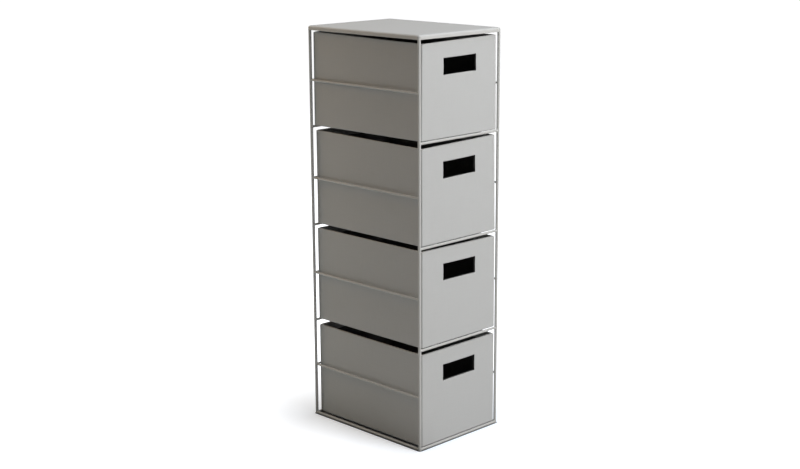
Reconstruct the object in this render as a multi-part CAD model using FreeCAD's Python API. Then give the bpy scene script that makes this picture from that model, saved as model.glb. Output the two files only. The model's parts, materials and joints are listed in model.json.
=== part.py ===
import FreeCAD, Part
import os

# A narrow storage tower: a welded wire frame with a folded sheet top, and one
# fabric-covered board drawer in each bay, which slides on two runner wires.
#
# Millimetres. The origin is on the floor under the middle of the frame, +Z is
# up, the drawers open towards -Y, and +X is to the right seen from the front.
# Bays and drawers are numbered from the bottom upwards.

# ---------------------------------------------------------------- frame sizes
BAYS = 4
SPAN_X = 218.0              # post centre to post centre, across the front
SPAN_Y = 300.0              # post centre to post centre, front to back
BAY_PITCH = 200.0           # centre of one level of rails to the next
POST_WIRE = 6.0             # the four uprights
MAIN_WIRE = 5.0             # rails and runners
GUIDE_WIRE = 4.0            # the thinner wires half way up each bay
FIRST_GUIDE = 105.0         # lowest guide wires, above the bottom rails
GUIDE_PITCH = 196.0         # one set of guide wires to the next
RUNNER_SPACING = 124.0      # centre to centre of the two runners in a bay

# ------------------------------------------------------------ top panel sizes
PANEL_SHEET = 1.2
PANEL_EDGE = 9.0            # height of the folded rim
PANEL_OVERHANG = 1.0        # rim past the outside of the posts
PANEL_CORNER = 6.0          # rounding of the corners seen from above
PANEL_BEND = 1.5            # outside radius of each fold
PANEL_FLANGE = 9.0          # width of the lip folded in under the rim

# --------------------------------------------------------------- drawer sizes
BOARD = 3.0                 # grey board of the walls and base
COVER = 1.0                 # outer fabric with its glue
LINING = 0.8                # inner fabric
DRAWER_CORNER = 2.0         # rounding of the upright outer corners
HOLE_WIDTH = 90.0
HOLE_HEIGHT = 32.0
HOLE_CORNER = 3.0           # in the cover; the boards are cut square behind it
HOLE_BELOW_RIM = 31.5       # top of the hand hole, below the drawer's rim

# ----------------------------------------------------------------- clearances
SIDE_GAP = 3.5              # drawer to each side guide wire
FRONT_SET = 0.5             # drawer front behind the front rail's centre line, when shut
REAR_GAP = 2.0              # drawer back to the back guide wire, when shut
HEAD_GAP = 2.2              # drawer rim to the top panel, in the top bay
RUN_GAP = 0.3               # drawer base above the runners and rails
WELD_GAP = 0.05             # end of a wire to the wire that it is welded to

# ------------------------------------------------------------- derived places
POST_X = SPAN_X / 2
POST_Y = SPAN_Y / 2
POST_R = POST_WIRE / 2
MAIN_R = MAIN_WIRE / 2
GUIDE_R = GUIDE_WIRE / 2
PANEL_TOP = MAIN_R + BAYS * BAY_PITCH
PANEL_BOTTOM = PANEL_TOP - PANEL_EDGE

WALL = COVER + BOARD + LINING
DRAWER_HALF = POST_X - GUIDE_R - SIDE_GAP
DRAWER_FRONT = -POST_Y + FRONT_SET
DRAWER_BACK = POST_Y - GUIDE_R - REAR_GAP


def rail_height(bay):
    """Centre height of the rails under a bay."""
    return MAIN_R + (bay - 1) * BAY_PITCH


def guide_height(bay):
    """Centre height of the guide wires round a bay."""
    return rail_height(1) + FIRST_GUIDE + (bay - 1) * GUIDE_PITCH


def drawer_bottom(bay):
    """Underside of the drawer in a bay."""
    return rail_height(bay) + MAIN_R + RUN_GAP


DRAWER_HEIGHT = PANEL_BOTTOM - HEAD_GAP - drawer_bottom(BAYS)


# ---------------------------------------------------------------------- tools
def vector(x, y, z):
    return FreeCAD.Vector(x, y, z)


class Wire:
    """A straight round wire between two points."""

    def __init__(self, start, end, radius):
        self.start = vector(*start)
        self.end = vector(*end)
        self.radius = radius

    def solid(self):
        path = self.end - self.start
        return Part.makeCylinder(self.radius, path.Length, self.start, path)

    def seat(self):
        """Cutter that leaves the weld gap round this wire, past both its ends."""
        path = self.end - self.start
        reach = vector(*path).normalize() * self.radius
        length = path.Length + 2 * self.radius
        return Part.makeCylinder(self.radius + WELD_GAP, length, self.start - reach, path)

    def coped(self, *others):
        """The wire with its ends shaped to the wires that it is welded to."""
        return self.solid().cut([other.seat() for other in others]).Solids[0]


def block(x, y, z):
    """A box from three (low, high) pairs."""
    return Part.makeBox(x[1] - x[0], y[1] - y[0], z[1] - z[0], vector(x[0], y[0], z[0]))


def rounded_outline(low, high, level, radius):
    """Face of a rectangle with rounded corners, at one height."""
    across, deep = FreeCAD.Vector(1, 0, 0), FreeCAD.Vector(0, 1, 0)
    corners = [
        (low[0], low[1], across, deep),
        (high[0], low[1], deep, -across),
        (high[0], high[1], -across, -deep),
        (low[0], high[1], -deep, across),
    ]
    edges = []
    last = None
    for x, y, leaving, inward in corners:
        corner = vector(x, y, level)
        centre = corner + (leaving + inward) * radius
        start = corner + inward * radius
        middle = centre - (leaving + inward).normalize() * radius
        end = corner + leaving * radius
        if last:
            edges.append(Part.LineSegment(last, start).toShape())
        edges.append(Part.Arc(start, middle, end).toShape())
        last = end
    edges.append(Part.LineSegment(last, edges[0].Vertexes[0].Point).toShape())
    return Part.Face(Part.Wire(edges))


def rounded_block(x, y, z, radius):
    """A box with rounded upright edges, from three (low, high) pairs."""
    face = rounded_outline((x[0], y[0]), (x[1], y[1]), z[0], radius)
    return face.extrude(vector(0, 0, z[1] - z[0]))


def level_edges(shape, height):
    """Edges of a shape that lie wholly at one height."""
    found = []
    for edge in shape.Edges:
        box = edge.BoundBox
        if abs(box.ZMin - height) < 1e-6 and abs(box.ZMax - height) < 1e-6:
            found.append(edge)
    return found


# ---------------------------------------------------------------------- frame
def build_posts():
    """The four upright wires, from the floor to the top panel, by node name."""
    posts = {}
    for depth_name, y in (("front", -POST_Y), ("rear", POST_Y)):
        for side_name, x in (("left", -POST_X), ("right", POST_X)):
            name = "post_" + depth_name + "_" + side_name
            posts[name] = Wire((x, y, 0), (x, y, PANEL_BOTTOM), POST_R)
    return posts


def build_level(bay, posts):
    """The rails and runners that carry one bay's drawer, by node name."""
    z = rail_height(bay)
    front = Wire((-POST_X, -POST_Y, z), (POST_X, -POST_Y, z), MAIN_R)
    back = Wire((-POST_X, POST_Y, z), (POST_X, POST_Y, z), MAIN_R)
    number = "_" + str(bay)
    nodes = {
        "front_rail" + number: front.coped(*posts),
        "back_rail" + number: back.coped(*posts),
    }
    for side_name, side in (("left", -1), ("right", 1)):
        x = side * RUNNER_SPACING / 2
        runner = Wire((x, -POST_Y, z), (x, POST_Y, z), MAIN_R)
        nodes["runner_" + side_name + number] = runner.coped(front, back)
        if bay == 1:
            x = side * POST_X
            rail = Wire((x, -POST_Y, z), (x, POST_Y, z), MAIN_R)
            nodes["bottom_rail_" + side_name] = rail.coped(front, back, *posts)
    return nodes


def build_guides(bay, posts):
    """The thin wires that keep one bay's drawer in line, by node name."""
    z = guide_height(bay)
    back = Wire((-POST_X, POST_Y, z), (POST_X, POST_Y, z), GUIDE_R)
    number = "_" + str(bay)
    nodes = {"back_guide" + number: back.coped(*posts)}
    for side_name, x in (("left", -POST_X), ("right", POST_X)):
        guide = Wire((x, -POST_Y, z), (x, POST_Y, z), GUIDE_R)
        nodes["guide_" + side_name + number] = guide.coped(back, *posts)
    return nodes


def build_frame():
    """Every wire of the welded frame, by node name."""
    posts = build_posts()
    nodes = {}
    for name, wire in posts.items():
        nodes[name] = wire.solid()
    for bay in range(1, BAYS + 1):
        nodes.update(build_level(bay, posts.values()))
        nodes.update(build_guides(bay, posts.values()))
    return nodes


def build_top_panel():
    """The folded sheet top: a tray turned over, with a lip folded in below."""
    reach = POST_R + PANEL_OVERHANG
    half_x, half_y = POST_X + reach, POST_Y + reach
    heights = (PANEL_BOTTOM, PANEL_TOP)
    outside = rounded_block((-half_x, half_x), (-half_y, half_y), heights, PANEL_CORNER)
    outside = outside.makeFillet(PANEL_BEND, level_edges(outside, PANEL_TOP))
    outside = outside.makeChamfer(PANEL_BEND, level_edges(outside, PANEL_BOTTOM))

    in_x, in_y = half_x - PANEL_SHEET, half_y - PANEL_SHEET
    heights = (PANEL_BOTTOM + PANEL_SHEET, PANEL_TOP - PANEL_SHEET)
    corner = PANEL_CORNER - PANEL_SHEET
    inside = rounded_block((-in_x, in_x), (-in_y, in_y), heights, corner)

    win_x, win_y = half_x - PANEL_FLANGE, half_y - PANEL_FLANGE
    heights = (PANEL_BOTTOM - PANEL_SHEET, PANEL_BOTTOM + 2 * PANEL_SHEET)
    window = block((-win_x, win_x), (-win_y, win_y), heights)
    return outside.cut([inside, window]).Solids[0]


# -------------------------------------------------------------------- drawers
def inset(amount):
    """Plan of a drawer's outline moved in by an amount: x and y pairs."""
    x = (-DRAWER_HALF + amount, DRAWER_HALF - amount)
    y = (DRAWER_FRONT + amount, DRAWER_BACK - amount)
    return x, y


def hand_hole(bay, edge, corner):
    """Cutter through the front for the hand hole, wider by an edge all round."""
    top = drawer_bottom(bay) + DRAWER_HEIGHT - HOLE_BELOW_RIM + edge
    half, height = HOLE_WIDTH / 2 + edge, HOLE_HEIGHT + 2 * edge
    y = (DRAWER_FRONT - 2 * WALL, DRAWER_FRONT + 2 * WALL)
    if not corner:
        return block((-half, half), y, (top - height, top))
    face = rounded_outline((-half, 0), (half, height), 0, corner)
    face.rotate(vector(0, 0, 0), vector(1, 0, 0), 90)
    face.translate(vector(0, y[1], top - height))
    return face.extrude(vector(0, y[0] - y[1], 0))


def build_drawer(bay):
    """The boards, cover and lining of one drawer, by node name."""
    low = drawer_bottom(bay)
    high = low + DRAWER_HEIGHT
    boards_high = high - COVER
    cover_hole = hand_hole(bay, 0, HOLE_CORNER)
    board_hole = hand_hole(bay, COVER, 0)

    # The cover wraps the outside, the base, the rim and the hand hole's edge.
    x, y = inset(0)
    skin = rounded_block(x, y, (low, high), DRAWER_CORNER)
    x, y = inset(COVER)
    box_corner = DRAWER_CORNER - COVER
    skin = skin.cut(rounded_block(x, y, (low + COVER, boards_high), box_corner))
    x, y = inset(WALL)
    mouth = block(x, y, (boards_high - COVER, high + COVER))
    collar = board_hole.common(block(x, (DRAWER_FRONT, y[0]), (low, high)))
    cover = skin.cut(mouth).fuse(collar).cut(cover_hole).removeSplitter().Solids[0]

    # Four wall boards stand on the cover's base, round the base board.
    x_out, y_out = inset(COVER)
    x_in, y_in = inset(COVER + BOARD)
    walls = (low + COVER, boards_high)
    outline = rounded_block(x_out, y_out, walls, box_corner)
    front = outline.common(block(x_out, (y_out[0], y_in[0]), walls)).cut(board_hole).Solids[0]
    back = outline.common(block(x_out, (y_in[1], y_out[1]), walls)).Solids[0]
    left = block((x_out[0], x_in[0]), y_in, walls)
    right = block((x_in[1], x_out[1]), y_in, walls)
    base = block(x_in, y_in, (low + COVER, low + COVER + BOARD))

    # The lining covers the boards inside, up to the cover's turned rim.
    x_room, y_room = inset(WALL)
    lining = block(x_in, y_in, (low + COVER + BOARD, boards_high))
    lining = lining.cut([block(x_room, y_room, (low + WALL, high)), board_hole]).Solids[0]

    pieces = {
        "cover": cover,
        "front_board": front,
        "back_board": back,
        "side_boards": Part.makeCompound([left, right]),
        "base_board": base,
        "lining": lining,
    }
    name = "drawer_" + str(bay) + "_"
    return {name + part: shape for part, shape in pieces.items()}


# ---------------------------------------------------------------------- build
def main():
    nodes = build_frame()
    nodes["top_panel"] = build_top_panel()
    for bay in range(1, BAYS + 1):
        nodes.update(build_drawer(bay))

    os.makedirs("parts", exist_ok=True)
    for name, shape in nodes.items():
        if not shape.isValid():
            raise ValueError(name + " is not a valid solid")
        shape.exportStep("parts/" + name + ".step")
        print(name, "volume", round(shape.Volume, 1), "faces", len(shape.Faces))
    print(len(nodes), "nodes, overall height", PANEL_TOP)


main()
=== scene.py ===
import json
import logging
import math
from dataclasses import dataclass, field
from enum import Enum
from typing import Callable, Iterable

import bpy
from mathutils import Matrix, Vector


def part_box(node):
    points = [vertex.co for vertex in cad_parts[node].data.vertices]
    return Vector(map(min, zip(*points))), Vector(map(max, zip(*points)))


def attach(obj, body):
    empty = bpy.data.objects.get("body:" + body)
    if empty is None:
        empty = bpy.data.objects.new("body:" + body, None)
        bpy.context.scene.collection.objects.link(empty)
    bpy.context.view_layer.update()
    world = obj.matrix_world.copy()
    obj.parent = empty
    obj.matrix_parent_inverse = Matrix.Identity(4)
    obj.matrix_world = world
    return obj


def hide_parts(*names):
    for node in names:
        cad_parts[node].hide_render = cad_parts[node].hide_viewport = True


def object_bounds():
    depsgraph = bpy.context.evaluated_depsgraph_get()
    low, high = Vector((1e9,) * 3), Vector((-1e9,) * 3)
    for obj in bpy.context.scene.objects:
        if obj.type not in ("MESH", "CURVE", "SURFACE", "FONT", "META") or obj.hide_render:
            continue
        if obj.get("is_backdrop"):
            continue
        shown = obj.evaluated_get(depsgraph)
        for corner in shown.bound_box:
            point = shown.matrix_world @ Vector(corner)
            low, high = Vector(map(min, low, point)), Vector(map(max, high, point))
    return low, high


# A narrow storage tower in metres, in the frame's own axes: a welded wire frame with a
# folded sheet top, and four board drawers covered in woven fabric.

log = logging.getLogger("storage_tower")
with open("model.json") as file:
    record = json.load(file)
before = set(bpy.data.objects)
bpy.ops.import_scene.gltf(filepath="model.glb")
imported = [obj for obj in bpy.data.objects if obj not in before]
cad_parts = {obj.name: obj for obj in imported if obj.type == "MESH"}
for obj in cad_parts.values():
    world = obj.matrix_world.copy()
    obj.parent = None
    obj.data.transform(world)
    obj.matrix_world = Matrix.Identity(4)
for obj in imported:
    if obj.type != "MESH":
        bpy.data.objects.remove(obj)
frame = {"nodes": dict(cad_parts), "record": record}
CAD_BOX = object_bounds()

MM = 0.001
Point = tuple[float, float, float]


# ----------------------------------------------------------------------- shared helpers
def linear(hex_colour: str) -> tuple[float, float, float, float]:
    """Turns an sRGB hex colour into linear RGBA.

    Args:
        hex_colour: Six hex digits, such as "C0BFBA".

    Returns:
        Linear red, green and blue, and an alpha of 1.
    """
    values = [int(hex_colour[i:i + 2], 16) / 255 for i in (0, 2, 4)]
    red, green, blue = [v / 12.92 if v <= 0.04045 else ((v + 0.055) / 1.055) ** 2.4 for v in values]
    return red, green, blue, 1.0


def add_node(
    tree: bpy.types.NodeTree,
    kind: str,
    settings: dict[str, object] | None = None,
    inputs: dict[str | int, object] | None = None,
) -> bpy.types.Node:
    """Adds one node with its settings and its links.

    Args:
        tree: Tree that gets the node.
        kind: The node's type, such as "ShaderNodeBump".
        settings: Properties of the node by name.
        inputs: Input values, or output sockets to link, by input name or index.

    Returns:
        The new node.
    """
    node = tree.nodes.new(kind)
    for name, value in (settings or {}).items():
        setattr(node, name, value)
    for name, value in (inputs or {}).items():
        if isinstance(value, bpy.types.NodeSocket):
            tree.links.new(value, node.inputs[name])
        else:
            node.inputs[name].default_value = value
    return node


def new_material(name: str) -> tuple[bpy.types.Material, bpy.types.NodeTree]:
    """Starts an empty node material.

    Args:
        name: Name of the real material and finish.

    Returns:
        The material and its node tree.
    """
    material = bpy.data.materials.new(name)
    material.use_nodes = True
    material.node_tree.nodes.clear()
    return material, material.node_tree


def new_object(name: str, mesh: bpy.types.Mesh) -> bpy.types.Object:
    """Links a mesh into the scene as an object at the origin.

    Args:
        name: The object's name.
        mesh: Its mesh, already in place.

    Returns:
        The new object.
    """
    made = bpy.data.objects.new(name, mesh)
    bpy.context.scene.collection.objects.link(made)
    return made


def plain_mesh(carrier: bpy.types.Object) -> bpy.types.Mesh:
    """Turns an object with modifiers into a plain mesh, and removes the object.

    Args:
        carrier: The object whose modifiers make the shape.

    Returns:
        The finished mesh.
    """
    evaluated = carrier.evaluated_get(bpy.context.evaluated_depsgraph_get())
    mesh = bpy.data.meshes.new_from_object(evaluated)
    mesh.name = carrier.name
    bpy.data.objects.remove(carrier)
    return mesh


def compass(azimuth: float, elevation: float) -> Vector:
    """Gives the direction from the tower to something round it.

    Args:
        azimuth: Degrees from the front, towards +X.
        elevation: Degrees above the horizon.

    Returns:
        The direction, one metre long.
    """
    a, e = math.radians(azimuth), math.radians(elevation)
    return Vector((math.sin(a) * math.cos(e), -math.cos(a) * math.cos(e), math.sin(e)))


def smoothstep(value: float) -> float:
    """Eases a value from 0 to 1, level at both ends."""
    value = min(max(value, 0.0), 1.0)
    return value * value * (3 - 2 * value)


# ----------------------------------------------------------------------------- finishes
@dataclass(frozen=True)
class PowderCoat:
    """Polyester powder coat baked on steel: matt, with a faint orange peel."""

    name: str
    colour: str
    roughness: float = 0.6
    peel: float = 1.8 * MM      # real peel is about 1 mm across; this is as fine as shows
    depth: float = 0.04

    def material(self) -> bpy.types.Material:
        """Builds the coat.

        Returns:
            Its material.
        """
        material, tree = new_material(self.name)
        place = add_node(tree, "ShaderNodeTexCoord").outputs["Object"]
        peel = add_node(tree, "ShaderNodeTexNoise", inputs={
            "Vector": place, "Scale": 1 / self.peel, "Detail": 1.0})
        bump = add_node(tree, "ShaderNodeBump", inputs={
            "Height": peel.outputs["Fac"], "Strength": self.depth, "Distance": self.peel})
        shader = add_node(tree, "ShaderNodeBsdfPrincipled", inputs={
            "Base Color": linear(self.colour), "Roughness": self.roughness,
            "IOR": 1.5, "Normal": bump.outputs["Normal"]})
        add_node(tree, "ShaderNodeOutputMaterial", inputs={"Surface": shader.outputs[0]})
        return material


@dataclass(frozen=True)
class WovenFabric:
    """Plain-weave fabric glued to board: thread relief, painted shade between the threads, thicker
    stretches and a soft sheen.
    """

    name: str
    colour: str
    groove_shade: str                 # darker colour between the threads: the weave's own gaps and painted shade in its grooves
    hole_wall_shade: str | None = None  # dark colour of the marked faces: painted shade on the hand hole's wall
    thread: float = 0.9 * MM    # real threads are about 0.5 mm apart; this is as fine as shows
    slub: float = 45 * MM       # usual length of a thicker stretch of thread
    slub_share: float = 0.5     # how much it adds to the weave's height
    lowest: float = 0.3         # height that has the painted groove shade
    highest: float = 1.3        # and the thread's
    relief: float = 0.35
    sheen: float = 0.08

    def weave(self, tree: bpy.types.NodeTree, place: bpy.types.NodeSocket) -> bpy.types.NodeSocket:
        """Draws the pillows of the crossing threads.

        Args:
            tree: The material's tree.
            place: The surface's own coordinates, in metres.

        Returns:
            Height of the weave, from 0 between threads to 1 on top of them.
        """
        turns = add_node(tree, "ShaderNodeVectorMath", {"operation": "SCALE"}, {
            0: place, "Scale": math.pi / self.thread})
        wave = add_node(tree, "ShaderNodeVectorMath", {"operation": "SINE"}, {0: turns.outputs[0]})
        part = add_node(tree, "ShaderNodeSeparateXYZ", inputs={0: wave.outputs[0]})
        both = add_node(tree, "ShaderNodeMath", {"operation": "MULTIPLY"}, {
            0: part.outputs["X"], 1: part.outputs["Y"]})
        height = add_node(tree, "ShaderNodeMath", {"operation": "ABSOLUTE"}, {0: both.outputs[0]})
        return height.outputs[0]

    def slubs(
        self, tree: bpy.types.NodeTree, place: bpy.types.NodeSocket, stretch: Point
    ) -> bpy.types.NodeSocket:
        """Draws thicker stretches of thread along one direction.

        Args:
            tree: The material's tree.
            place: The surface's own coordinates, in metres.
            stretch: Marks per metre along each coordinate.

        Returns:
            Noise in long streaks, from 0 to 1.
        """
        drawn = add_node(tree, "ShaderNodeVectorMath", {"operation": "MULTIPLY"}, {
            0: place, 1: stretch})
        return add_node(tree, "ShaderNodeTexNoise", inputs={
            "Vector": drawn.outputs[0], "Scale": 1.0, "Detail": 1.0}).outputs["Fac"]

    def material(self) -> bpy.types.Material:
        """Builds the fabric.

        Returns:
            Its material.
        """
        material, tree = new_material(self.name)
        place = add_node(tree, "ShaderNodeUVMap", {"uv_map": "UVMap"}).outputs["UV"]
        weave = self.weave(tree, place)
        fine, long = 1 / (2 * self.thread), 1 / self.slub
        warp = self.slubs(tree, place, (fine, long, 0))
        weft = self.slubs(tree, place, (long, fine, 0))
        streaks = add_node(tree, "ShaderNodeMath", {"operation": "ADD"}, {0: warp, 1: weft})
        height = add_node(tree, "ShaderNodeMath", {"operation": "MULTIPLY_ADD"}, {
            0: streaks.outputs[0], 1: self.slub_share, 2: weave})
        tone = add_node(tree, "ShaderNodeMapRange", inputs={
            "Value": height.outputs[0], "From Min": self.lowest, "From Max": self.highest})
        colour = add_node(tree, "ShaderNodeMix", {"data_type": "RGBA"}, {
            "Factor": tone.outputs[0], 6: linear(self.groove_shade), 7: linear(self.colour)})
        # The hand hole's wall gets a dark colour: painted shade inside the hole.
        if self.hole_wall_shade:
            hole_shade = add_node(tree, "ShaderNodeAttribute", {"attribute_name": "hole_shade"})
            colour = add_node(tree, "ShaderNodeMix", {"data_type": "RGBA"}, {
                "Factor": hole_shade.outputs["Fac"], 6: colour.outputs[2], 7: linear(self.hole_wall_shade)})
        bump = add_node(tree, "ShaderNodeBump", inputs={
            "Height": height.outputs[0], "Strength": self.relief, "Distance": self.thread / 3})
        shader = add_node(tree, "ShaderNodeBsdfPrincipled", inputs={
            "Base Color": colour.outputs[2], "Roughness": 0.85, "IOR": 1.45,
            "Specular IOR Level": 0.3, "Sheen Weight": self.sheen, "Sheen Roughness": 0.5,
            "Normal": bump.outputs["Normal"]})
        add_node(tree, "ShaderNodeOutputMaterial", inputs={"Surface": shader.outputs[0]})
        return material


@dataclass(frozen=True)
class GreyBoard:
    """Pressed board of recycled paper: mottled by fibres, with no gloss."""

    name: str
    colour: str
    fleck: str
    fibre: float = 2.5 * MM

    def material(self) -> bpy.types.Material:
        """Builds the board.

        Returns:
            Its material.
        """
        material, tree = new_material(self.name)
        place = add_node(tree, "ShaderNodeTexCoord").outputs["Object"]
        fibres = add_node(tree, "ShaderNodeTexNoise", inputs={
            "Vector": place, "Scale": 1 / self.fibre, "Detail": 4.0, "Distortion": 1.5})
        colour = add_node(tree, "ShaderNodeMix", {"data_type": "RGBA"}, {
            "Factor": fibres.outputs["Fac"], 6: linear(self.colour), 7: linear(self.fleck)})
        shader = add_node(tree, "ShaderNodeBsdfPrincipled", inputs={
            "Base Color": colour.outputs[2], "Roughness": 0.95})
        add_node(tree, "ShaderNodeOutputMaterial", inputs={"Surface": shader.outputs[0]})
        return material


# ---------------------------------------------------------------------- layered shapes
def planes(marks: Iterable[float], step: float) -> list[float]:
    """Sorts marked planes and fills the wide gaps between them.

    Args:
        marks: Places that need a plane.
        step: Widest gap to leave.

    Returns:
        The places of all planes, lowest first.
    """
    marks = sorted(marks)
    placed = marks[:1]
    for low, high in zip(marks, marks[1:]):
        parts = math.ceil((high - low) / step)
        placed += [low + (high - low) * i / parts for i in range(1, parts + 1)]
    return placed


def both_ends(low: float, high: float, depths: Iterable[float]) -> list[float]:
    """Places that lie at each of some depths in from both ends of a span."""
    return [place for depth in depths for place in (low + depth, high - depth)]


def rounded_corner(
    point: Point, low: Vector, high: Vector, radii: Point,
    foot: float = -math.inf, head: float = math.inf,
) -> Point:
    """Rounds a box's upright corners and its lower or upper edges, through all its layers.

    Args:
        point: A point of the plain box.
        low: Lowest corner of the box.
        high: Highest corner of the box.
        radii: Reach of the rounding along each axis.
        foot: Height of the lower edges, where they are rounded too.
        head: Height of the upper edges, where they are rounded too.

    Returns:
        The point's new place.
    """
    pivot = (
        min(max(point[0], low.x + radii[0]), high.x - radii[0]),
        min(max(point[1], low.y + radii[1]), high.y - radii[1]),
        min(max(point[2], foot + radii[2]), head - radii[2]),
    )
    turn = [(place - middle) / radius for place, middle, radius in zip(point, pivot, radii)]
    rounded = []
    for axis in range(3):
        b, c = turn[(axis + 1) % 3] ** 2, turn[(axis + 2) % 3] ** 2
        share = math.sqrt(1 - b / 2 - c / 2 + b * c / 3)
        rounded.append(pivot[axis] + turn[axis] * radii[axis] * share)
    return tuple(rounded)


@dataclass
class Skin:
    """The closed surface round one layer's cells, as quads with their own UV in metres."""

    points: list[Point] = field(default_factory=list)
    quads: list[list[int]] = field(default_factory=list)
    uvs: list[tuple[float, float]] = field(default_factory=list)
    index: dict[Point, int] = field(default_factory=dict)

    def add_quad(self, corners: list[Point], axis: int) -> None:
        """Adds one face of a cell.

        Args:
            corners: Its four corners in order, seen from outside.
            axis: The axis that the face looks along.
        """
        quad = []
        across, upward = ((1, 2), (0, 2), (0, 1))[axis]
        for corner in corners:
            if corner not in self.index:
                self.index[corner] = len(self.points)
                self.points.append(corner)
            quad.append(self.index[corner])
            self.uvs.append((corner[across], corner[upward]))
        self.quads.append(quad)

    def mesh(self, name: str, reshape: Callable[[Point], Point], levels: int) -> bpy.types.Mesh:
        """Makes the surface a smooth mesh.

        Args:
            name: The mesh's name.
            reshape: Moves each corner of the plain cells before smoothing.
            levels: Rounds of subdivision.

        Returns:
            The mesh.
        """
        mesh = bpy.data.meshes.new(name)
        mesh.from_pydata([reshape(point) for point in self.points], [], self.quads)
        layer = mesh.uv_layers.new(name="UVMap")
        layer.data.foreach_set("uv", [value for pair in self.uvs for value in pair])
        if not levels:
            return mesh
        mesh.shade_smooth()
        carrier = new_object(name, mesh)
        soften = carrier.modifiers.new("soften", "SUBSURF")
        soften.levels = soften.render_levels = levels
        return plain_mesh(carrier)


def layer_skins(
    x_planes: list[float],
    y_planes: list[float],
    z_planes: list[float],
    layer_at: Callable[[float, float, float], Enum | None],
) -> dict[Enum, Skin]:
    """Cuts a box into cells and wraps the cells of each layer in a closed skin.

    Args:
        x_planes: Planes across.
        y_planes: Planes front to back.
        z_planes: Planes from the bottom up.
        layer_at: Says which layer holds a point, or None for air.

    Returns:
        The skin of each layer.
    """
    grid = (x_planes, y_planes, z_planes)
    middles = [[(low + high) / 2 for low, high in zip(line, line[1:])] for line in grid]
    cells = {}
    for i, x in enumerate(middles[0]):
        for j, y in enumerate(middles[1]):
            for k, z in enumerate(middles[2]):
                cells[i, j, k] = layer_at(x, y, z)
    skins: dict[Enum, Skin] = {}
    for cell, layer in cells.items():
        if layer is None:
            continue
        skin = skins.setdefault(layer, Skin())
        for axis in range(3):
            for side in (0, 1):
                beside = list(cell)
                beside[axis] += 2 * side - 1
                if cells.get(tuple(beside)) is layer:
                    continue
                corners = []
                for step_b, step_c in ((0, 0), (1, 0), (1, 1), (0, 1)):
                    at = list(cell)
                    at[axis] += side
                    at[(axis + 1) % 3] += step_b
                    at[(axis + 2) % 3] += step_c
                    corners.append(tuple(grid[n][at[n]] for n in range(3)))
                skin.add_quad(corners if side else corners[::-1], axis)
    return skins


# ---------------------------------------------------------------------------- top panel
class PanelLayer(Enum):
    """The one layer of the folded sheet top."""

    SHEET = "top_sheet"


@dataclass
class TopPanel:
    """The steel sheet top: a shallow tray turned over, with a lip folded in under its rim."""

    sheet: float = 1.2 * MM
    lip: float = 9 * MM
    corner: float = 6 * MM
    fold: float = 4 * MM                # height of the soft bend at the top of the rim
    flat_step: float = 40 * MM
    levels: int = 2

    def __post_init__(self) -> None:
        """Takes the panel's place from the frame."""
        self.low, self.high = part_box("top_panel")

    def layer_at(self, x: float, y: float, z: float) -> PanelLayer | None:
        """Says whether a point is in the sheet.

        Args:
            x: Place across.
            y: Place front to back.
            z: Height above the floor.

        Returns:
            The sheet, or None for air.
        """
        low, high = self.low, self.high
        inset = min(x - low.x, high.x - x, y - low.y, high.y - y)
        in_lip = z < low.z + self.sheet and inset < self.lip
        if inset < self.sheet or z > high.z - self.sheet or in_lip:
            return PanelLayer.SHEET
        return None

    def reshape(self, point: Point) -> Point:
        """Rounds the panel's corners and the bend all round its top."""
        radii = (self.corner, self.corner, self.fold)
        return rounded_corner(point, self.low, self.high, radii, head=self.high.z)

    def build(self, coat: bpy.types.Material) -> None:
        """Builds the panel.

        Args:
            coat: The sheet's finish.
        """
        low, high = self.low, self.high
        depths = [0, self.sheet, self.lip - self.sheet, self.lip]
        depths += [self.corner * part for part in (0.5, 0.75, 1)]
        levels = both_ends(low.z, high.z, (0, self.sheet))
        levels += [high.z - self.fold * part for part in (0.5, 1)]
        skins = layer_skins(
            planes(both_ends(low.x, high.x, depths), self.flat_step),
            planes(both_ends(low.y, high.y, depths), self.flat_step),
            planes(levels, self.corner / 2),
            self.layer_at,
        )
        name = PanelLayer.SHEET.value
        panel = new_object(name, skins[PanelLayer.SHEET].mesh(name, self.reshape, self.levels))
        panel.data.materials.append(coat)
        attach(panel, "frame")
        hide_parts("top_panel")
        log.info("top panel: %d faces", len(panel.data.polygons))


# --------------------------------------------------------------------------- wire frame
@dataclass
class JointSet:
    """Places where wires of one kind are welded on, each with two directions."""

    name: str
    wire_radius: float
    crossing_radius: float
    flush: bool = False                 # whether the beads are filed level with the wire's top
    places: list[Vector] = field(default_factory=list)
    along: list[Vector] = field(default_factory=list)
    across: list[Vector] = field(default_factory=list)

    def add(self, place: Vector, along: Vector, across: Vector) -> None:
        """Adds one joint.

        Args:
            place: Where the two wires' centre lines meet.
            along: The way the welded wire leaves the joint.
            across: The axis of the wire that it is welded to.
        """
        self.places.append(place)
        self.along.append(along)
        self.across.append(across)

    def carrier(self) -> bpy.types.Object:
        """Makes an object with one point for each joint.

        Returns:
            The object, with the two directions and the filed level as attributes.
        """
        mesh = bpy.data.meshes.new(self.name)
        mesh.from_pydata(self.places, [], [])
        for name, values in (("along", self.along), ("across", self.across)):
            attribute = mesh.attributes.new(name, "FLOAT_VECTOR", "POINT")
            attribute.data.foreach_set("vector", [part for value in values for part in value])
        top = self.wire_radius if self.flush else 2 * self.wire_radius
        level = mesh.attributes.new("level", "FLOAT", "POINT")
        level.data.foreach_set("value", [place.z + top for place in self.places])
        return new_object(self.name, mesh)


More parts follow.
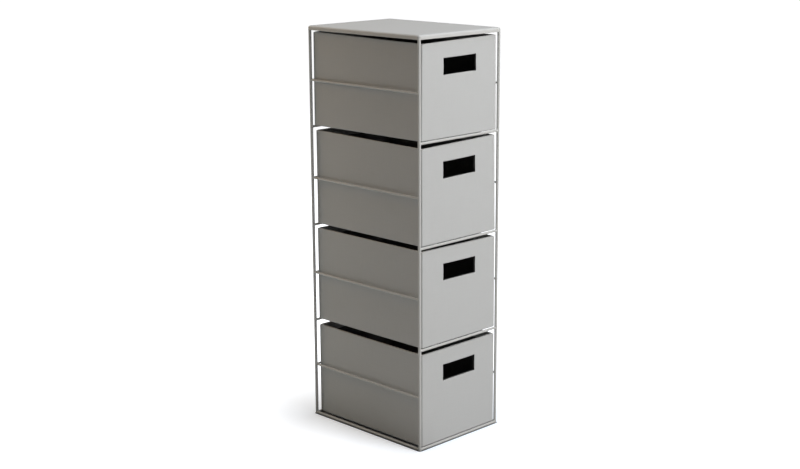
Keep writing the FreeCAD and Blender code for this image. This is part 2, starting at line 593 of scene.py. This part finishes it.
@dataclass
class WireFrame:
    """The welded frame: its wires as they are, dressed, with a weld bead round every joint."""

    bays: int
    bead_radius: float = 0.75 * MM
    bead_thinnest: float = 0.35         # a bead's thickness at the wire's sides, as a share
    bead_spread: float = 0.04           # how much the beads differ in size
    ring_points: int = 28
    bead_points: int = 8
    seed: int = 7

    def __post_init__(self) -> None:
        """Takes the posts' places and the wires' radii from the frame."""
        low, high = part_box("post_front_left")
        self.left, self.front = (low.x + high.x) / 2, (low.y + high.y) / 2
        self.post_radius = (high.x - low.x) / 2
        self.post_top = high.z
        low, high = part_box("post_rear_right")
        self.right, self.rear = (low.x + high.x) / 2, (low.y + high.y) / 2
        low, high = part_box("front_rail_1")
        self.rail_radius = (high.z - low.z) / 2
        low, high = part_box("guide_left_1")
        self.guide_radius = (high.z - low.z) / 2

    def weld_both_ends(
        self, joints: JointSet, node: str, axis: int, ends: tuple[float, float], across: Point
    ) -> None:
        """Adds the joints at both ends of one wire.

        Args:
            joints: The set that gets them.
            node: The wire's node.
            axis: The axis that the wire runs along.
            ends: Where it meets the centre lines of the wires at its ends.
            across: The axis of those wires.
        """
        low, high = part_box(node)
        for end, way in zip(ends, (1, -1)):
            place = (low + high) / 2
            place[axis] = end
            along = Vector((0, 0, 0))
            along[axis] = way
            joints.add(place, along, Vector(across))

    def joints(self) -> list[JointSet]:
        """Lists every welded joint of the frame.

        Returns:
            The joints of rails, runners and guide wires, and of the posts with the panel.
        """
        rails = JointSet("rail_welds", self.rail_radius, self.post_radius)
        runners = JointSet("runner_welds", self.rail_radius, self.rail_radius, flush=True)
        guides = JointSet("guide_welds", self.guide_radius, self.post_radius)
        posts = JointSet("post_welds", self.post_radius, 0.0)
        width, depth = (self.left, self.right), (self.front, self.rear)
        upright, level = (0, 0, 1), (1, 0, 0)
        for bay in range(1, self.bays + 1):
            self.weld_both_ends(rails, f"front_rail_{bay}", 0, width, upright)
            self.weld_both_ends(rails, f"back_rail_{bay}", 0, width, upright)
            self.weld_both_ends(guides, f"back_guide_{bay}", 0, width, upright)
            for side in ("left", "right"):
                self.weld_both_ends(runners, f"runner_{side}_{bay}", 1, depth, level)
                self.weld_both_ends(guides, f"guide_{side}_{bay}", 1, depth, upright)
        for side in ("left", "right"):
            self.weld_both_ends(rails, f"bottom_rail_{side}", 1, depth, upright)
        for x in width:
            for y in depth:
                posts.add(Vector((x, y, self.post_top)), Vector((0, 0, -1)), Vector(level))
        return [rails, runners, guides, posts]

    def bead_tree(self) -> bpy.types.NodeTree:
        """Builds the Geometry Nodes tree that puts a weld bead on each joint point.

        Returns:
            The tree, with its sizes as named inputs.
        """
        tree = bpy.data.node_groups.new("weld_beads", "GeometryNodeTree")
        sockets = {
            "NodeSocketGeometry": ("Joints",),
            "NodeSocketFloat": ("Wire Radius", "Crossing Radius", "Bead Radius"),
            "NodeSocketInt": ("Ring Points", "Bead Points", "Seed"),
            "NodeSocketMaterial": ("Coat",),
        }
        for kind, names in sockets.items():
            for name in names:
                tree.interface.new_socket(name=name, in_out="INPUT", socket_type=kind)
        tree.interface.new_socket(name="Beads", in_out="OUTPUT", socket_type="NodeSocketGeometry")
        given = add_node(tree, "NodeGroupInput").outputs

        # The bead's path is the saddle line where the wire's wall meets the crossing wire.
        ring = add_node(tree, "GeometryNodeCurvePrimitiveCircle", inputs={
            "Resolution": given["Ring Points"], "Radius": given["Wire Radius"]})
        place = add_node(tree, "GeometryNodeInputPosition")
        part = add_node(tree, "ShaderNodeSeparateXYZ", inputs={0: place.outputs[0]}).outputs
        reach, sideways = (
            add_node(tree, "ShaderNodeMath", {"operation": "MULTIPLY"}, {0: side, 1: side})
            for side in (given["Crossing Radius"], part["X"]))
        rest = add_node(tree, "ShaderNodeMath", {"operation": "SUBTRACT"}, {
            0: reach.outputs[0], 1: sideways.outputs[0]})
        rest = add_node(tree, "ShaderNodeMath", {"operation": "MAXIMUM"}, {
            0: rest.outputs[0], 1: 0.0})
        height = add_node(tree, "ShaderNodeMath", {"operation": "SQRT"}, {0: rest.outputs[0]})
        lift = add_node(tree, "ShaderNodeCombineXYZ", inputs={"Z": height.outputs[0]})
        path = add_node(tree, "GeometryNodeSetPosition", inputs={
            "Geometry": ring.outputs["Curve"], "Offset": lift.outputs[0]})

        # It is fullest above and below the wire, and thins out where the walls run together.
        share = add_node(tree, "ShaderNodeMath", {"operation": "DIVIDE"}, {
            0: part["Y"], 1: given["Wire Radius"]})
        share = add_node(tree, "ShaderNodeMath", {"operation": "ABSOLUTE"}, {0: share.outputs[0]})
        taper = add_node(tree, "ShaderNodeMapRange", inputs={
            "Value": share.outputs[0], "To Min": self.bead_thinnest, "To Max": 1.0})
        section = add_node(tree, "GeometryNodeCurvePrimitiveCircle", inputs={
            "Resolution": given["Bead Points"], "Radius": given["Bead Radius"]})
        bead = add_node(tree, "GeometryNodeCurveToMesh", inputs={
            "Curve": path.outputs[0], "Profile Curve": section.outputs["Curve"],
            "Scale": taper.outputs["Result"]})

        along, across = (
            add_node(tree, "GeometryNodeInputNamedAttribute", {"data_type": "FLOAT_VECTOR"}, {
                "Name": name}).outputs[0] for name in ("along", "across"))
        axes = {"primary_axis": "Z", "secondary_axis": "Y"}
        turn = add_node(tree, "FunctionNodeAxesToRotation", axes, {0: along, 1: across})
        size = add_node(tree, "FunctionNodeRandomValue", {"data_type": "FLOAT"}, {
            2: 1 - self.bead_spread, 3: 1 + self.bead_spread, "Seed": given["Seed"]})
        beads = add_node(tree, "GeometryNodeInstanceOnPoints", inputs={
            "Points": given["Joints"], "Instance": bead.outputs[0],
            "Rotation": turn.outputs[0], "Scale": size.outputs[1]})
        beads = add_node(tree, "GeometryNodeRealizeInstances", inputs={0: beads.outputs[0]})

        # The lowest beads are filed flush with the floor, and those under a drawer with the wires.
        filed = add_node(tree, "ShaderNodeMath", {"operation": "MAXIMUM"}, {0: part["Z"], 1: 0.0})
        top = add_node(tree, "GeometryNodeInputNamedAttribute", {"data_type": "FLOAT"}, {
            "Name": "level"})
        filed = add_node(tree, "ShaderNodeMath", {"operation": "MINIMUM"}, {
            0: filed.outputs[0], 1: top.outputs[0]})
        level = add_node(tree, "ShaderNodeCombineXYZ", inputs={
            "X": part["X"], "Y": part["Y"], "Z": filed.outputs[0]})
        beads = add_node(tree, "GeometryNodeSetPosition", inputs={
            "Geometry": beads.outputs[0], "Position": level.outputs[0]})
        beads = add_node(tree, "GeometryNodeSetShadeSmooth", inputs={"Geometry": beads.outputs[0]})
        beads = add_node(tree, "GeometryNodeSetMaterial", inputs={
            "Geometry": beads.outputs[0], "Material": given["Coat"]})
        add_node(tree, "NodeGroupOutput", inputs={"Beads": beads.outputs[0]})
        return tree

    def build_beads(
        self, joints: JointSet, tree: bpy.types.NodeTree, coat: bpy.types.Material
    ) -> None:
        """Welds one set of joints.

        Args:
            joints: The joints.
            tree: The tree that makes the beads.
            coat: The finish over the welds.
        """
        carrier = joints.carrier()
        modifier = carrier.modifiers.new("weld_beads", "NODES")
        modifier.node_group = tree
        values = {
            "Wire Radius": joints.wire_radius, "Crossing Radius": joints.crossing_radius,
            "Bead Radius": self.bead_radius, "Ring Points": self.ring_points,
            "Bead Points": self.bead_points, "Seed": self.seed, "Coat": coat,
        }
        for socket in tree.interface.items_tree:
            if socket.in_out == "INPUT" and socket.name in values:
                modifier[socket.identifier] = values[socket.name]
        beads = new_object(joints.name, plain_mesh(carrier))
        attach(beads, "frame")
        log.info("%s: %d joints", joints.name, len(joints.places))

    def build(self, coat: bpy.types.Material) -> None:
        """Dresses the wires and welds them.

        Args:
            coat: The wires' finish.
        """
        for name in frame["record"]["behaviour"]["bodies"]["frame"]:
            node = frame["nodes"][name]
            node.data.materials.clear()
            node.data.materials.append(coat)
        tree = self.bead_tree()
        for joints in self.joints():
            self.build_beads(joints, tree, coat)


# ------------------------------------------------------------------------------ drawers
class DrawerLayer(Enum):
    """The layers of a drawer; each value ends the name of the CAD node that it stands for."""

    COVER = "cover"
    FRONT_BOARD = "front_board"
    BACK_BOARD = "back_board"
    SIDE_BOARDS = "side_boards"
    BASE_BOARD = "base_board"
    LINING = "lining"

    @property
    def slot(self) -> str:
        """The record's material slot for this layer."""
        return {"cover": "cover_fabric", "lining": "lining_fabric"}.get(self.value, "grey_board")

    @property
    def levels(self) -> int:
        """Rounds of subdivision: only the fabric shows, and it is soft at every edge."""
        return 1 if self in (DrawerLayer.COVER, DrawerLayer.LINING) else 0


@dataclass(frozen=True)
class HandMade:
    """How one soft hand-made box differs from a true one, in millimetres."""

    rise: tuple[float, float, float, float]     # of the rim: front left, right, rear left, right
    lean: tuple[float, float]                   # of the left and right wall, inwards at the rim
    drift: tuple[float, float]                  # of the box to the right, at its front and rear


@dataclass
class DrawerShape:
    """A box of board with a fabric cover and a lining, standing on height 0."""

    low: Vector
    high: Vector
    cover: float = 1.0 * MM
    board: float = 3.0 * MM
    lining: float = 0.8 * MM
    corner: float = 2.5 * MM
    hem: float = 18 * MM                # cover turned in over the rim
    hole_half: float = 45 * MM
    hole_height: float = 32 * MM
    hole_below_rim: float = 31.5 * MM
    hole_corner: float = 4.0 * MM
    hole_hem: float = 9 * MM            # cover turned in round the hand hole
    crease: float = 0.8 * MM            # how tight the fabric lies round an edge
    flat_step: float = 26 * MM

    def __post_init__(self) -> None:
        """Works out the places that the layers share."""
        self.height = self.high.z - self.low.z
        self.hole_top = self.height - self.hole_below_rim
        self.hole_bottom = self.hole_top - self.hole_height
        self.inside = self.cover + self.board
        self.wall = self.inside + self.lining

    def board_name(self, y: float) -> DrawerLayer:
        """Says which wall board a point between cover and lining belongs to.

        Args:
            y: Place front to back.

        Returns:
            The board's layer.
        """
        if y < self.low.y + self.inside:
            return DrawerLayer.FRONT_BOARD
        if y > self.high.y - self.inside:
            return DrawerLayer.BACK_BOARD
        return DrawerLayer.SIDE_BOARDS

    def layer_at(self, x: float, y: float, z: float) -> DrawerLayer | None:
        """Says which layer holds a point.

        Args:
            x: Place across.
            y: Place front to back.
            z: Height above the drawer's underside.

        Returns:
            The layer, or None for air.
        """
        low, high = self.low, self.high
        inset = min(x - low.x, high.x - x, y - low.y, high.y - y)
        drop = self.height - z
        from_hole = math.inf
        if y < low.y + self.wall:
            from_hole = max(abs(x) - self.hole_half, self.hole_bottom - z, z - self.hole_top)
        if from_hole < 0:
            return None
        if inset < self.cover or z < self.cover:
            return DrawerLayer.COVER
        if inset < self.inside:
            rim_or_collar = drop < self.cover or from_hole < self.cover
            return DrawerLayer.COVER if rim_or_collar else self.board_name(y)
        if z < self.inside:
            return DrawerLayer.BASE_BOARD
        if inset < self.wall:
            turned_in = drop < self.hem or from_hole < self.hole_hem
            return DrawerLayer.COVER if turned_in else DrawerLayer.LINING
        return DrawerLayer.LINING if z < self.wall else None

    def skins(self) -> dict[DrawerLayer, Skin]:
        """Cuts the box into its layers.

        Returns:
            The skin of each layer.
        """
        third = self.corner / 3
        layers = (0, third, self.cover, 2 * third, self.corner, self.inside, self.wall,
                  self.wall + 2 * self.crease)
        hole = (-self.hole_corner, 0, self.cover, self.hole_hem - self.crease, self.hole_hem,
                self.hole_hem + self.crease)
        across = [side * (self.hole_half + edge) for side in (-1, 1) for edge in hole]
        across += both_ends(self.low.x, self.high.x, layers)
        upward = list(layers) + [self.height - self.cover - self.crease * n for n in (0, 1)]
        upward += [self.height, self.height - self.hem]
        upward += [self.height - self.hem + side * self.crease for side in (-1, 1)]
        upward += [self.hole_top + edge for edge in hole]
        upward += [self.hole_bottom - edge for edge in hole]
        return layer_skins(
            planes(across, self.flat_step),
            planes(both_ends(self.low.y, self.high.y, layers), self.flat_step),
            planes(upward, self.flat_step),
            self.layer_at,
        )

    def reshape(self, point: Point) -> Point:
        """Rounds the upright and lower edges and the corners of the hand hole.

        Args:
            point: A point of the plain box.

        Returns:
            Its new place.
        """
        x, y, z = rounded_corner(point, self.low, self.high, (self.corner,) * 3, foot=0.0)
        if y < self.low.y + self.wall + self.crease:
            x, z = self.round_hole(x, z)
        return x, y, z

    def round_hole(self, x: float, z: float) -> tuple[float, float]:
        """Rounds the hand hole's corners, with the fabric turned in round it.

        Args:
            x: Place across.
            z: Height above the drawer's underside.

        Returns:
            The new x and z.
        """
        radius, middle = self.hole_corner, (self.hole_top + self.hole_bottom) / 2
        across = abs(x) - self.hole_half + radius
        up = abs(z - middle) - self.hole_height / 2 + radius
        reach = max(across, up)
        if min(across, up) <= 0 or reach > radius + self.cover + self.crease / 2:
            return x, z
        new_across = across * math.sqrt(1 - (up / reach) ** 2 / 2)
        new_up = up * math.sqrt(1 - (across / reach) ** 2 / 2)
        return x + math.copysign(new_across - across, x), z + math.copysign(new_up - up, z - middle)


@dataclass
class Drawer:
    """One drawer in its bay."""

    number: int
    shape: DrawerShape
    made: HandMade
    bow: float = 0.8 * MM               # the side walls' outward bulge at mid rim
    corner_sink: float = 1.2 * MM       # rim lies a little lower at its four corners
    corner_reach: float = 7 * MM
    corner_fade: int = 4                # how fast that dies out below the rim
    settling: float = 0.28 * MM         # the base's fabric beds down onto the wires

    def __post_init__(self) -> None:
        """Takes the drawer's height in the tower from the frame."""
        self.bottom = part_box(f"drawer_{self.number}_cover")[0].z - self.settling

    def settle(self, point: Vector) -> Vector:
        """Moves a point of the true box to where this hand-made one has it.

        Args:
            point: A point of the true box, above height 0.

        Returns:
            Its place in the tower.
        """
        shape, made = self.shape, self.made
        low, high = shape.low, shape.high
        across = (point.x - low.x) / (high.x - low.x)
        deep = (point.y - low.y) / (high.y - low.y)
        up = point.z / shape.height
        front = made.rise[0] * (1 - across) + made.rise[1] * across
        rear = made.rise[2] * (1 - across) + made.rise[3] * across
        rise = up * (front * (1 - deep) + rear * deep) * MM
        from_side = min(point.x - low.x, high.x - point.x)
        from_end = min(point.y - low.y, high.y - point.y)
        near = smoothstep(1 - math.hypot(from_side, from_end) / self.corner_reach)
        rise -= self.corner_sink * near * up ** self.corner_fade
        bulge = self.bow * math.sin(math.pi * deep)
        left = up * (made.lean[0] * MM - bulge)
        right = up * (bulge - made.lean[1] * MM)
        drift = (made.drift[0] * (1 - deep) + made.drift[1] * deep) * MM
        sideways = drift + left * (1 - across) + right * across
        return Vector((point.x + sideways, point.y, point.z + rise + self.bottom))

    def shade_hole_wall(self, mesh: bpy.types.Mesh) -> None:
        """Marks the faces of the hand hole's wall, which get a dark colour as painted shade.

        Args:
            mesh: The cover of the true box.
        """
        shape = self.shape
        edge = shape.crease / 2
        marks = mesh.attributes.new("hole_shade", "FLOAT", "FACE").data
        for mark, face in zip(marks, mesh.polygons):
            x, y, z = face.center
            in_wall = edge < y - shape.low.y < shape.wall - edge
            across = abs(x) < shape.hole_half + edge
            upward = -edge < z - shape.hole_bottom < shape.hole_height + edge
            mark.value = float(in_wall and across and upward)

    def build(
        self, skins: dict[DrawerLayer, Skin], finishes: dict[str, bpy.types.Material]
    ) -> None:
        """Builds every layer of the drawer.

        Args:
            skins: The true box's layers.
            finishes: The material of each slot.
        """
        for layer, skin in skins.items():
            name = f"{layer.value}_{self.number}"
            mesh = skin.mesh(name, self.shape.reshape, layer.levels)
            if layer is DrawerLayer.COVER:
                self.shade_hole_wall(mesh)
            for vertex in mesh.vertices:
                vertex.co = self.settle(vertex.co)
            piece = new_object(name, mesh)
            mesh.materials.append(finishes[layer.slot])
            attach(piece, f"drawer_{self.number}")
            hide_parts(f"drawer_{self.number}_{layer.value}")
            layer.slot
        log.info("drawer %d: %d layers", self.number, len(skins))


# ------------------------------------------------------------------------------- studio
@dataclass(frozen=True)
class Softbox:
    """A square softbox that faces the middle of the tower."""

    name: str
    azimuth: float              # degrees, as compass takes them
    elevation: float
    distance: float             # metres from the tower's middle
    size: float                 # side of the square, in metres
    level: float                # light on a face turned to it; 1 shows a colour as written
    colour: str = "FFFFFF"

    def hang(self) -> None:
        """Hangs the softbox."""
        towards = compass(self.azimuth, self.elevation)
        low, high = CAD_BOX
        lamp = bpy.data.lights.new(self.name, "AREA")
        lamp.shape = "SQUARE"
        lamp.size = self.size
        lamp.energy = self.level * math.pi ** 2 * self.distance ** 2
        lamp.color = linear(self.colour)[:3]
        box = bpy.data.objects.new(self.name, lamp)
        box.location = (low + high) / 2 + towards * self.distance
        box.rotation_mode = "QUATERNION"
        box.rotation_quaternion = towards.to_track_quat("Z", "Y")
        bpy.context.scene.collection.objects.link(box)


SOFTBOXES = (
    Softbox("key_softbox", 10, 26, 3.0, 1.6, 0.754, "FFFDFB"),
    Softbox("top_softbox", 40, 75, 2.4, 2.0, 0.605, "EEF5FF"),
    Softbox("rear_softbox", -150, 35, 2.0, 1.0, 0.29, "FFE2BF"),
    Softbox("low_softbox", -138, -9, 1.2, 0.4, 0.08, "F0FFFC"),
    Softbox("side_softbox", 95, 8, 2.5, 1.2, 0.30),
    Softbox("back_softbox", 170, 10, 2.5, 1.2, 0.18),
)


@dataclass
class PaintedFloor:
    """A pale floor that shows white, but keeps the tower's shadow: the lamps' real one and a
    painted one near the tower.
    """

    half: float = 12.0
    paint: str = "E9F0F9"               # in view
    contact_shadow: str = "606060"                # and along the tower's foot, darker: a painted contact shadow
    bounce: str = "BCBCBC"              # for bounced light
    shade: str = "202020"               # and beside the left foot: a painted shadow, so the floor there bounces little light
    near_lift: float = 0.27             # glow in view, beside the tower
    far_lift: float = 1.0               # and out of its shadow
    shadow_reach: float = 0.30          # how far the painted shadow of the lower glow reaches
    contact_reach: float = 0.06         # how far from the left foot the painted shadow dims the bounce
    contact_line: float = 0.0035        # width of the painted contact shadow along its foot, outside
    contact_inside: float = 0.025       # and inside

    def material(self) -> bpy.types.Material:
        """Builds the paint, with one look in view and one for bounced light.

        Returns:
            Its material.
        """
        material, tree = new_material("painted_floor")
        smooth, larger = {"interpolation_type": "SMOOTHSTEP"}, {"operation": "MAXIMUM"}
        ray = add_node(tree, "ShaderNodeLightPath").outputs
        seen = ray["Is Camera Ray"]
        for kind in ("Is Glossy Ray", "Is Transmission Ray"):
            seen = add_node(tree, "ShaderNodeMath", larger, {0: seen, 1: ray[kind]}).outputs[0]

        # Distance outside the tower's foot, a rectangle with the posts' round corners.
        foot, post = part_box("post_front_left")
        centre, radius = (foot + post) / 2, (post.x - foot.x) / 2
        place = add_node(tree, "ShaderNodeTexCoord").outputs["Object"]
        side = add_node(tree, "ShaderNodeVectorMath", {"operation": "ABSOLUTE"}, {0: place})
        past = add_node(tree, "ShaderNodeVectorMath", {"operation": "SUBTRACT"}, {
            0: side.outputs[0], 1: (-centre.x, -centre.y, 0)})
        outside = add_node(tree, "ShaderNodeVectorMath", larger, {0: past.outputs[0]})
        outside = add_node(tree, "ShaderNodeVectorMath", {"operation": "LENGTH"}, {
            0: outside.outputs[0]})
        away = add_node(tree, "ShaderNodeMath", {"operation": "SUBTRACT"}, {
            0: outside.outputs["Value"], 1: radius}).outputs[0]

        # In view it glows to white, less so near the tower and not at all along its foot, which
        # paints a shadow over the lamps' real one.
        lift = add_node(tree, "ShaderNodeMapRange", inputs={
            "Value": away, "From Max": self.shadow_reach,
            "To Min": self.near_lift, "To Max": self.far_lift})
        beside = add_node(tree, "ShaderNodeMapRange", smooth, {
            "Value": away, "From Max": self.contact_line})
        lift = add_node(tree, "ShaderNodeMath", {"operation": "MULTIPLY"}, {
            0: lift.outputs["Result"], 1: beside.outputs["Result"]})
        glow = add_node(tree, "ShaderNodeEmission", inputs={"Strength": lift.outputs[0]})

        # Painted contact shadow: the paint turns dark along the foot, in a line that is wider
        # inside.
        within = add_node(tree, "ShaderNodeSeparateXYZ", inputs={0: past.outputs[0]})
        within = add_node(tree, "ShaderNodeMath", larger, {
            0: within.outputs["X"], 1: within.outputs["Y"]})
        within = add_node(tree, "ShaderNodeMath", {"operation": "MULTIPLY"}, {
            0: within.outputs[0], 1: -self.contact_line / self.contact_inside})
        edge = add_node(tree, "ShaderNodeMath", larger, {0: away, 1: within.outputs[0]})
        edge = add_node(tree, "ShaderNodeMapRange", smooth, {
            "Value": edge.outputs[0], "From Max": self.contact_line})
        painted = add_node(tree, "ShaderNodeMix", {"data_type": "RGBA"}, {
            "Factor": edge.outputs["Result"], 6: linear(self.contact_shadow), 7: linear(self.paint)})
        shown = add_node(tree, "ShaderNodeBsdfDiffuse", inputs={"Color": painted.outputs[2]})
        shown = add_node(tree, "ShaderNodeAddShader", inputs={
            0: shown.outputs[0], 1: glow.outputs[0]})

        # Painted shadow: it bounces little light beside the left foot.
        part = add_node(tree, "ShaderNodeSeparateXYZ", inputs={0: place})
        from_left = add_node(tree, "ShaderNodeMath", {"operation": "SUBTRACT"}, {
            0: part.outputs["X"], 1: foot.x})
        from_left = add_node(tree, "ShaderNodeMath", larger, {0: from_left.outputs[0], 1: away})
        contact = add_node(tree, "ShaderNodeMapRange", smooth, {
            "Value": from_left.outputs[0], "From Max": self.contact_reach})
        reflected = add_node(tree, "ShaderNodeMix", {"data_type": "RGBA"}, {
            "Factor": contact.outputs["Result"], 6: linear(self.shade), 7: linear(self.bounce)})
        bounce = add_node(tree, "ShaderNodeBsdfDiffuse", inputs={"Color": reflected.outputs[2]})
        mix = add_node(tree, "ShaderNodeMixShader", inputs={
            0: seen, 1: bounce.outputs[0], 2: shown.outputs[0]})
        add_node(tree, "ShaderNodeOutputMaterial", inputs={"Surface": mix.outputs[0]})
        return material

    def lay(self) -> None:
        """Lays the floor."""
        half = self.half
        mesh = bpy.data.meshes.new("studio_floor")
        corners = [(-half, -half, 0), (half, -half, 0), (half, half, 0), (-half, half, 0)]
        mesh.from_pydata(corners, [], [(0, 1, 2, 3)])
        floor = new_object("studio_floor", mesh)
        mesh.materials.append(self.material())
        floor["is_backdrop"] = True


@dataclass
class Studio:
    """Floor, soft lights, white background and the camera."""

    view_from: Point = (-1.959, -1.9716, 1.0452)
    azimuth: float = -44.64
    elevation: float = 13.30
    roll: float = -0.29
    lens: float = 64.208
    sensor: float = 36.0
    sky_light: float = 0.05

    def build_world(self) -> None:
        """Makes a dim even sky that the camera sees as white."""
        world = bpy.data.worlds.new("studio_sky")
        bpy.context.scene.world = world
        world.use_nodes = True
        tree = world.node_tree
        tree.nodes.clear()
        ray = add_node(tree, "ShaderNodeLightPath").outputs
        seen = add_node(tree, "ShaderNodeMath", {"operation": "MAXIMUM"}, {
            0: ray["Is Camera Ray"], 1: ray["Is Transmission Ray"]})
        sky, white = (
            add_node(tree, "ShaderNodeBackground", inputs={
                "Color": linear("FFFFFF"), "Strength": strength})
            for strength in (self.sky_light, 1.0))
        mix = add_node(tree, "ShaderNodeMixShader", inputs={
            0: seen.outputs[0], 1: sky.outputs[0], 2: white.outputs[0]})
        add_node(tree, "ShaderNodeOutputWorld", inputs={"Surface": mix.outputs[0]})

    def build_camera(self) -> None:
        """Sets the camera."""
        back = compass(self.azimuth, self.elevation)
        level = Vector((0, 0, 1)).cross(back).normalized()
        across = Matrix.Rotation(math.radians(self.roll), 3, back) @ level
        camera = bpy.data.cameras.new("camera")
        camera.lens = self.lens
        camera.sensor_width = self.sensor
        holder = bpy.data.objects.new("camera", camera)
        turn = Matrix((across, back.cross(across), back)).transposed()
        holder.matrix_world = Matrix.Translation(self.view_from) @ turn.to_4x4()
        bpy.context.scene.collection.objects.link(holder)
        bpy.context.scene.camera = holder

    def build(self) -> None:
        """Builds the whole studio."""
        PaintedFloor().lay()
        self.build_world()
        for softbox in SOFTBOXES:
            softbox.hang()
        self.build_camera()
        bpy.context.scene.view_settings.view_transform = "Standard"
        log.info("studio: floor, sky, %d softboxes and camera", len(SOFTBOXES))


def write_sizes() -> None:
    """Lists the CAD model's box and the visual model's box, and keeps neither."""
    boxes = {"cad": CAD_BOX, "visual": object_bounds()}
    {name: [list(corner) for corner in box] for name, box in boxes.items()}


# One entry for each drawer, from the bottom bay upwards.
HAND_MADE = (
    HandMade(rise=(0.4, 0.2, 1.4, 1.0), lean=(0.3, 0.0), drift=(1.4, 1.4)),
    HandMade(rise=(4.2, 1.4, 4.9, 2.0), lean=(0.0, 1.2), drift=(2.0, 0.6)),
    HandMade(rise=(0.2, 4.4, 4.6, 3.0), lean=(0.0, 4.0), drift=(1.7, 1.6)),
    HandMade(rise=(-6.2, -2.3, -0.8, -1.5), lean=(1.0, 2.6), drift=(1.2, -2.4)),
)


def main() -> None:
    """Builds every sub-assembly and the studio."""
    logging.basicConfig(level=logging.INFO, format="%(name)s: %(message)s")
    finishes = {
        "coated_wire": PowderCoat("powder_coated_wire", "BCBCB9").material(),
        "coated_sheet": PowderCoat("powder_coated_sheet", "C0C0BD").material(),
        # The cover's last colour is the painted shade on the hand hole's wall.
        "cover_fabric": WovenFabric("woven_cover_fabric", "C0C1C0", "B7B8B7", "3E3E3E").material(),
        "lining_fabric": WovenFabric("woven_lining_fabric", "646464", "585858").material(),
        "grey_board": GreyBoard("grey_board", "8C8984", "7A7772").material(),
    }
    WireFrame(bays=len(HAND_MADE)).build(finishes["coated_wire"])
    TopPanel().build(finishes["coated_sheet"])
    shape = DrawerShape(*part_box("drawer_1_cover"))
    skins = shape.skins()
    for number, made in enumerate(HAND_MADE, start=1):
        Drawer(number, shape, made).build(skins, finishes)
    Studio().build()
    write_sizes()


if __name__ == "__main__":
    main()
